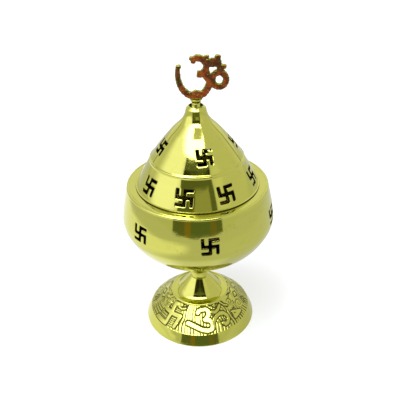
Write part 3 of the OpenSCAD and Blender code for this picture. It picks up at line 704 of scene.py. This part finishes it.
# Ember cup: a plain spun cup on a foot ring, lifted out to be filled. It is dulled and
# browned by heat and smoke.
CUP_R, CUP_H, CUP_FLOOR_R, CUP_WALL = 25.0, 15.0, 12.0, 1.0
CUP_FOOT_R, CUP_FOOT_H, CUP_FOOT_T = 10.4, 5.4, 1.2
CUP_Z = BOWL_Z + BOWL_WALL + CUP_FOOT_H
side = bow((CUP_FLOOR_R, 0), (CUP_R, CUP_H), -3.2, 40)
inside = beside(side, CUP_WALL)
inside = inside[(inside[:, 0] > CUP_FLOOR_R) & (inside[:, 1] > CUP_WALL)
                & (inside[:, 1] < CUP_H - 0.2)][::-1]
cup_line = eased(path((0, 0), side, (CUP_R - CUP_WALL, CUP_H), inside, (CUP_FLOOR_R, CUP_WALL),
                      (0, CUP_WALL)), 0.3)
cup_brass = polished("cup_brass", (0.42, 0.36, 0.09), rough=0.24, lines=1.2, age=0.8, coat=0.0)
fit(lathe("ember_cup_spun", cup_line + (0, CUP_Z)), cup_brass, "cup", "dull_brass", "ember_cup")
fit(lathe("cup_foot_ring", ring_section(CUP_Z - CUP_FOOT_H, CUP_Z, CUP_FOOT_R - CUP_FOOT_T,
                                        CUP_FOOT_R, 0.3)), cup_brass, "cup", "dull_brass",
    "cup_foot")


# Lid: one spun shell in three stages with a crease between each, ending in a hollowed
# neck with a small dish. Two rows of hooked crosses are sawn through it, and its thin lip
# rests on the mouth ring.
LIP_R, LIP_T, LID_R, LOW_H, LOW_R, MID_H, MID_R = 32.1, 0.7, 31.4, 13.2, 24.2, 15.7, 12.5
NECK_H, TOP_H, DISH_R, DISH_DEPTH, LID_WALL, WEB_T = 11.3, 1.2, 3.4, 1.3, 1.1, 1.5
SKIRT_GAP, SKIRT_T, SKIRT_H, SOLDER_GAP = 0.5, 0.9, 3.6, 0.03
LOW_MARKS, LOW_MOTIF, LOW_ROW = (-57, -13, 29, 76, 121, 167, 212, 257), 8.7, 0.43
MID_MARKS, MID_MOTIF, MID_ROW = (-75, 11.5, 95, 190), 7.8, 0.55
TAIL_HOLE_R = 1.5
LID_BRASS = (0.60, 0.595, 0.115)
LID_Z = SEAT_Z + LIP_T
LOW_Z = LID_Z + LOW_H
MID_Z = LOW_Z + MID_H
NECK_Z = MID_Z + NECK_H
TOP_Z = NECK_Z + TOP_H
DISH_Z = TOP_Z - DISH_DEPTH
WEB_Z = DISH_Z - WEB_T
SKIRT_R = RING_BORE_R - SKIRT_GAP
STEPS = (LOW_R, 0), (LOW_R - 0.05, 1.1), (LOW_R - 0.3, 1.4), (LOW_R - 0.85, 1.65)
NECK_LOW, NECK_BEND, NECK_TOP = (8.35, MID_Z + 4.15), (7.15, MID_Z + 5.6), (5.1, NECK_Z - 0.3)
low_line = bow((LID_R, LID_Z), (LOW_R, LOW_Z), -0.15, 30)
steps = np.array(STEPS) + (0, LOW_Z)
mid_line = path(steps, bow(steps[-1], (MID_R, MID_Z), -0.25, 40))
neck_line = path(bow((MID_R, MID_Z), NECK_LOW, -0.03, 12), bow(NECK_LOW, NECK_BEND, 0.025, 8),
                 bow(NECK_BEND, NECK_TOP, 0.42, 24))
lid_skin = Skin()
low_outer, low_inner = shell(lid_skin, low_line, LID_WALL, LOW_MARKS, LID_Z + LOW_ROW * LOW_H,
                             LOW_MOTIF, 12, 1.0)
mid_outer, mid_inner = shell(lid_skin, mid_line, LID_WALL, MID_MARKS, LOW_Z + MID_ROW * MID_H,
                             MID_MOTIF, 30, 0.3)
neck_in = beside(neck_line, LID_WALL)
neck_in = neck_in[neck_in[:, 1] < WEB_Z - 0.4][::-1]
top = eased(path(neck_line, (DISH_R + 0.35, TOP_Z), (DISH_R, TOP_Z), (DISH_R, DISH_Z),
                 (TAIL_HOLE_R, DISH_Z), (TAIL_HOLE_R, WEB_Z), (neck_in[0, 0], WEB_Z), neck_in), 0.2)
# Painted shade in the dish round the post: it is darkened to 0.75.
in_dish = (top[:, 0] < DISH_R + 0.1) & (top[:, 1] > DISH_Z - 0.1)
top_rings = lid_skin.turned(top, 192, radians(MID_MARKS[0]), in_dish * 0.75)
skirt_bore = SKIRT_R + SOLDER_GAP
lip = eased(path((skirt_bore, LID_Z), (skirt_bore, SEAT_Z), (LIP_R, SEAT_Z), (LIP_R, LID_Z - 0.1),
                 (LID_R + 0.2, LID_Z - 0.02), (LID_R, LID_Z)), 0.25)
# Painted shade where the lip meets the mouth ring: its outer lower edge is darkened to 0.9.
shade = (lip[:, 0] > LIP_R - 0.4) & (lip[:, 1] < LID_Z - 0.12)
lip_rings = lid_skin.turned(lip, 256, radians(LOW_MARKS[0]), shade * 0.9)
lid_skin.walls(top_rings)
lid_skin.walls(lip_rings)
lid_skin.seam(lip_rings[-1], low_outer[0])
lid_skin.seam(low_outer[-1], mid_outer[0])
lid_skin.seam(mid_outer[-1], top_rings[0])
lid_skin.seam(top_rings[-1], mid_inner[0])
lid_skin.seam(mid_inner[-1], low_inner[0])
lid_skin.seam(low_inner[-1], lip_rings[0])
fit(lid_skin.made("pierced_lid"), polished("lid_brass", LID_BRASS), "lid", "polished_brass", "lid")
fit(lathe("lid_skirt_ring", ring_section(SEAT_Z - SKIRT_H, LID_Z, SKIRT_R - SKIRT_T, SKIRT_R, 0.2),
          200), stem_brass, "lid", "polished_brass", "lid_skirt")



# Finial post: a small turned peg with a waist and a flat top, whose threaded tail goes
# through the dish. The syllable's tenon stands in its top.
POST_H, POST_R, POST_TOP_R, TAIL_R = 4.6, 2.4, 2.7, 1.45
SMALL_WASHER_R, SMALL_WASHER_T, SMALL_NUT_W, SMALL_NUT_T, THREAD_END = 3.3, 0.8, 5.5, 2.4, 1.0
POST_Z = DISH_Z + POST_H
TAIL_LOW = WEB_Z - SMALL_WASHER_T - SMALL_NUT_T - THREAD_END


def threaded(radius, low, high, pitch=0.7, depth=0.28):
    """Rings of a screw thread: the radius dips by a cosine of height less turn, so that the
    crest climbs one pitch each turn, and fades out at both ends."""
    height = np.linspace(low, high, max(24, int((high - low) / pitch * 12)))
    angle = np.linspace(0, 2 * pi, 72, endpoint=False)
    phase = height[:, None] / pitch * 2 * pi - angle
    fade = np.clip(np.minimum(height - low, high - height) / pitch, 0, 1)[:, None]
    dip = depth * (0.5 - 0.5 * np.cos(phase)) * fade
    return angle, radius - dip - 0.15 * (1 - fade), height[:, None]


def screw(name, rod_r, low, thread_top, above):
    """A threaded tail under a turned section that runs from its top to the axis."""
    skin = Skin()
    tail = skin.rings(*threaded(rod_r, low, thread_top))
    tip = skin.turned(path((0, low), (rod_r * 0.6, low)), 72)
    head = skin.turned(above, 72)
    for grid in (np.vstack((tip, tail)), head, np.vstack((tail[-1:], head[:1]))):
        skin.walls(grid)
    return skin.made(name)


post_top = eased(path((TAIL_R, WEB_Z + 0.1), (TAIL_R, DISH_Z), (POST_R, DISH_Z), (POST_R, DISH_Z + 0.6),
                      bow((POST_R, DISH_Z + 0.9), (POST_TOP_R, POST_Z - 0.6), 0.5, 16),
                      (POST_TOP_R, POST_Z), (0, POST_Z)), 0.2)
fit(screw("finial_post_turned", TAIL_R, TAIL_LOW, WEB_Z, post_top), stem_brass, "lid",
    "polished_brass", "finial_post")


# Syllable: Om cast in brass in one thin piece, its strokes lumpy from the sand. Faces are
# painted vermilion, worn through to brass at the edges. It stands on the post's top.
SYLLABLE_T, GRAIN = 2.6, 0.17
STROKES = (
    ((-7.8, 148.5), (-8.2, 147.0), (-8.35, 145.2), (-8.2, 143.1), (-7.8, 141.0), (-7.1, 138.9),
     (-5.9, 136.9), (-4.1, 135.2), (-1.9, 134.2), (0.2, 133.9), (2.3, 134.4), (4.2, 135.7),
     (5.6, 137.5), (6.4, 139.5), (6.9, 141.6)),
    ((-0.7, 151.5), (-0.2, 152.2), (0.7, 152.55), (2.1, 152.4), (3.6, 151.7), (4.8, 150.5),
     (5.2, 148.8), (4.9, 147.0), (3.7, 145.6), (2.1, 144.9)),
    ((3.7, 145.6), (5.2, 143.8), (6.9, 142.0)),
    ((5.5, 150.6), (6.8, 150.3), (8.2, 150.25), (9.6, 150.3), (10.6, 150.5)),
    ((10.6, 152.1), (10.8, 150.7), (11.2, 148.7), (11.8, 146.9), (13.0, 145.4)),
    ((12.0, 147.4), (10.3, 145.8), (8.7, 144.1), (7.4, 142.4)),
    ((5.5, 149.4), (5.5, 147.0), (5.9, 145.0), (6.8, 142.9)),
    ((0.2, 131.4), (0.2, 132.2), (0.3, 133.6)))
STROKE_WIDTHS = ((2.1, 2.4, 2.5, 2.7, 2.9, 3.0, 3.2, 3.4, 3.6, 3.7, 3.7, 3.6, 3.5, 3.5, 3.8),
                 (2.6, 3.0, 3.3, 3.3, 3.3, 3.2, 3.1, 3.1, 3.1, 2.8),
                 (3.4, 3.8, 4.4), (3.6, 4.4, 4.5, 4.4, 3.6), (2.7, 2.8, 2.8, 2.8, 2.6),
                 (2.3, 2.4, 2.6, 2.8), (2.4, 2.2, 2.2, 2.6), (4.4, 5.2, 6.8))
LUMPS = ((-1.3, 152.3, 1.4), (-0.9, 150.7, 1.1), (1.8, 145.7, 1.1), (2.0, 144.0, 1.3),
         (5.5, 153.2, 1.05), (10.5, 152.9, 1.4), (13.0, 148.3, 1.6), (-7.8, 148.5, 1.2),
         (-1.9, 133.0, 1.0))
LOOP, LOOP_TALL = (11.2, 142.0, 3.25, 3.1), 3.55
PAINT, PAINT_DARK, BARE = (0.30, 0.062, 0.003), (0.11, 0.016, 0.001), (0.42, 0.42, 0.06)
PAINTED_GLINT, CREVICE = (0.62, 0.30, 0.05), (0.030, 0.022, 0.003)
WORN, PAINT_LOW, DIRT_LOW = (0.73, 0.86), (0.1326, 0.1336), (0.131, 0.133)


def cast_stroke(line, widths, thick, closed=False):
    """A stroke: a rounded box section carried along a line in the XZ plane. Across the line
    it is half a width times a rounded cosine, and through it half the thickness times a
    rounded sine; both shrink to nothing round the ends."""
    line, widths = np.array(line, float), np.array(widths, float)
    run = np.linspace(0, run_of(line)[-1], 60)
    spine = np.stack([np.interp(run, run_of(line), line[:, k]) for k in (0, 1)], -1)
    width = np.interp(run, run_of(line), widths)
    way = np.gradient(spine, axis=0)
    way /= np.hypot(*way.T)[:, None]
    shrink = np.ones_like(run)
    if not closed:
        cap = np.sin(np.linspace(0, pi / 2, 8))[:-1]
        out = np.cos(np.linspace(0, pi / 2, 8))[:-1, None]
        spine = np.vstack((spine[0] - way[0] * out * width[0] / 2, spine,
                           (spine[-1] + way[-1] * out * width[-1] / 2)[::-1]))
        way = np.vstack((np.repeat(way[:1], 7, 0), way, np.repeat(way[-1:], 7, 0)))
        width = np.concatenate((np.full(7, width[0]), width, np.full(7, width[-1])))
        shrink = np.concatenate((cap, shrink, cap[::-1]))
        shrink[[0, -1]] = 0.02
    phi = np.linspace(0, 2 * pi, 32, endpoint=False)
    across = np.sign(np.cos(phi)) * abs(np.cos(phi)) ** 0.7 * (width * shrink)[:, None] / 2
    through = np.sign(np.sin(phi)) * abs(np.sin(phi)) ** 0.7 * (thick * shrink ** 0.5)[:, None] / 2
    points = np.stack((spine[:, :1] - way[:, 1:] * across, through,
                       spine[:, 1:] + way[:, :1] * across), -1)
    index = np.arange(points[..., 0].size).reshape(points.shape[:2])
    rows = np.vstack((index, index[:1])) if closed else index
    on = np.roll(rows, -1, 1)
    faces = np.stack((rows[:-1], rows[1:], on[1:], on[:-1]), -1).reshape(-1, 4).tolist()
    if not closed:
        faces += [index[0].tolist(), index[-1, ::-1].tolist()]
    return points.reshape(-1, 3), faces


parts = [cast_stroke(line, width, SYLLABLE_T - (0.2 * k) % 0.5)
         for k, (line, width) in enumerate(zip(STROKES, STROKE_WIDTHS))]
parts += [cast_stroke(((lx - r * 0.4, lz), (lx, lz), (lx + r * 0.4, lz)), (r * 1.4,) * 3,
                      min(SYLLABLE_T, r * 2)) for lx, lz, r in LUMPS]
turn = np.linspace(0, 2 * pi, 61)[:-1]
parts.append(cast_stroke(np.stack((LOOP[0] + LOOP[2] * np.cos(turn),
                                   LOOP[1] + LOOP_TALL * np.sin(turn)), -1),
                         np.full(60, LOOP[3]), SYLLABLE_T, closed=True))
parts.append(cast_stroke(((0.0, POST_Z - 1.2), (0.0, POST_Z), (0.1, POST_Z + 1.6)),
                         (3.0, 3.4, 4.2), 1.9))
cast = bpy.data.meshes.new("syllable_strokes")
starts = np.cumsum([0] + [len(p) for p, _ in parts])
cast.from_pydata(np.vstack([p for p, _ in parts]), [],
                 [[v + start for v in face] for (_, faces), start in zip(parts, starts)
                  for face in faces])
rough_cast = bpy.data.objects.new("syllable_strokes", cast)
bpy.context.collection.objects.link(rough_cast)
fuse = rough_cast.modifiers.new("fuse", "REMESH")
fuse.mode, fuse.voxel_size = "VOXEL", GRAIN
file_off = rough_cast.modifiers.new("file", "SMOOTH")
file_off.factor, file_off.iterations = 0.5, 4
fused = bpy.data.meshes.new_from_object(
    rough_cast.evaluated_get(bpy.context.evaluated_depsgraph_get()))
bpy.data.objects.remove(rough_cast)
spots, facing = np.empty(len(fused.vertices) * 3), np.empty(len(fused.vertices) * 3)
fused.vertices.foreach_get("co", spots)
fused.vertex_normals.foreach_get("vector", facing)
spots, facing = spots.reshape(-1, 3), facing.reshape(-1, 3)
lump = (np.sin(spots @ (1.9, 2.3, 1.4) + 1.0) * np.sin(spots @ (-1.3, 1.7, 2.6))
        + 0.6 * np.sin(spots @ (4.1, -3.0, 3.3)) * np.sin(spots @ (3.7, 2.9, -4.3) + 2.0))
spots += facing * (0.12 * lump)[:, None]
fused.vertices.foreach_set("co", (spots / 1000).ravel())
fused.update()
fused.shade_smooth()
fused.name = "cast_syllable"
syllable = bpy.data.objects.new("cast_syllable", fused)
bpy.context.collection.objects.link(syllable)

painted = Finish(bpy.data.materials.new("painted_cast"))
place = painted.node("TexCoord", out=3)
_, facing_y, _ = painted.wires("SeparateXYZ", (), {0: painted.node("TexCoord", out=1)})
grit = painted.node("TexNoise", (), {"Vector": place, "Scale": 900.0, "Detail": 4.0})
patch = painted.node("TexNoise", (), {"Vector": place, "Scale": 330.0, "Detail": 3.0})
face = abs(facing_y) + (patch - 0.5) * 0.55 + (grit - 0.5) * 0.35
_, _, level = painted.wires("SeparateXYZ", (), {0: place})
coat = face.rise(*WORN) * (level + (patch - 0.5) * 0.004).rise(*PAINT_LOW)
edge_dirt = face.rise(0.56, 0.70) * face.rise(0.98, 0.82) * level.rise(*DIRT_LOW)
colour = painted.mix(patch.rise(0.35, 0.65), PAINT_DARK, PAINT)
# Painted glints: small bright orange spots where the grit noise is high.
colour = painted.mix(grit.rise(0.60, 0.72) * 0.7, colour, PAINTED_GLINT)
colour = painted.mix(coat, BARE, colour)
colour = painted.mix(edge_dirt * 0.8, colour, CREVICE)
bump = painted.node("Bump", (), {"Height": grit * 0.00012 + patch * 0.00018 + coat * 0.00004,
                                 "Distance": 1.0, "Strength": 1.0})
shine = painted.node("BsdfPrincipled", (), {
    "Base Color": colour, "Metallic": 1.0 - coat * 0.7, "Roughness": coat * 0.08 + 0.24,
    "Coat Weight": coat * 0.2, "Coat Roughness": 0.12, "Specular IOR Level": 0.25, "Normal": bump})
painted.node("OutputMaterial", (), {0: shine})
fit(syllable, painted.owner, "lid", "painted_brass", "om_finial")


# Fastenings: zinc-plated steel. One long bolt with a recessed round head clamps bowl, stem,
# collar and foot between two washers and a nut; a small nut holds the finial in the lid.
BOLT_R, HEAD_R, HEAD_H, NUT_W, NUT_T = 1.95, 4.0, 2.2, 7.0, 3.2
WASHER_R, WASHER_T, BOLT_TAIL = 6.0, 1.0, 1.8
ZINC = (0.62, 0.63, 0.64)
zinc = polished("zinc_steel", ZINC, rough=0.26, lines=0.6, age=0.5, coat=0.0)


CHAMFER, BORE_CHAMFER = 0.5, 0.3


def nut(name, width, thick, low, bore):
    """A hexagon nut: the radius is half the width over the cosine of the angle from the
    nearest flat's middle, and no more than a cone that chamfers the corners."""
    angle = np.linspace(0, 2 * pi, 120, endpoint=False)
    flat = width / 2 / np.cos((angle + pi / 6) % (pi / 3) - pi / 6)
    height = np.concatenate((np.linspace(0, CHAMFER, 6), np.linspace(thick - CHAMFER, thick, 6)))
    cone = width / 2 * 0.96 + np.minimum(height, thick - height)[:, None] * 1.75
    skin = Skin()
    sides = skin.rings(angle, np.minimum(flat, cone), low + height[:, None])
    wide, high = bore + BORE_CHAMFER, low + thick
    hole = skin.turned(path((wide, high), (bore, high - BORE_CHAMFER),
                            (bore, low + BORE_CHAMFER), (wide, low)), 120)
    skin.walls(np.vstack((sides, hole, sides[:1])))
    return skin.made(name)


head_z = BOWL_Z + BOWL_WALL + WASHER_T
bolt_low = NUT_SEAT_H - WASHER_T - NUT_T - BOLT_TAIL
head = eased(path((BOLT_R, NUT_SEAT_H + 2.1), (BOLT_R, head_z), (HEAD_R, head_z),
                  bow((HEAD_R, head_z + 0.7), (1.2, head_z + HEAD_H), -0.25, 12),
                  (1.2, head_z + HEAD_H - 0.9), (0, head_z + HEAD_H - 0.9)), 0.2)
fit(screw("long_bolt", BOLT_R, bolt_low, NUT_SEAT_H + 2.0, head), zinc, "stand", "steel",
    "centre_bolt")
for name, low, node in (("head_washer", BOWL_Z + BOWL_WALL, "bowl_washer"),
                        ("nut_washer", NUT_SEAT_H - WASHER_T, "foot_washer")):
    fit(lathe(name, ring_section(low, low + WASHER_T, BOLT_HOLE_R, WASHER_R, 0.2), 96), zinc,
        "stand", "steel", node)
fit(nut("bolt_nut", NUT_W, NUT_T, bolt_low + BOLT_TAIL, BOLT_R + 0.02), zinc, "stand", "steel",
    "foot_nut")
washer_low = WEB_Z - SMALL_WASHER_T
fit(lathe("small_washer", ring_section(washer_low, WEB_Z, TAIL_HOLE_R, SMALL_WASHER_R, 0.15), 96),
    zinc, "lid", "steel", "finial_washer")
fit(nut("small_nut", SMALL_NUT_W, SMALL_NUT_T, washer_low - SMALL_NUT_T, TAIL_R + 0.02), zinc,
    "lid", "steel", "finial_nut")
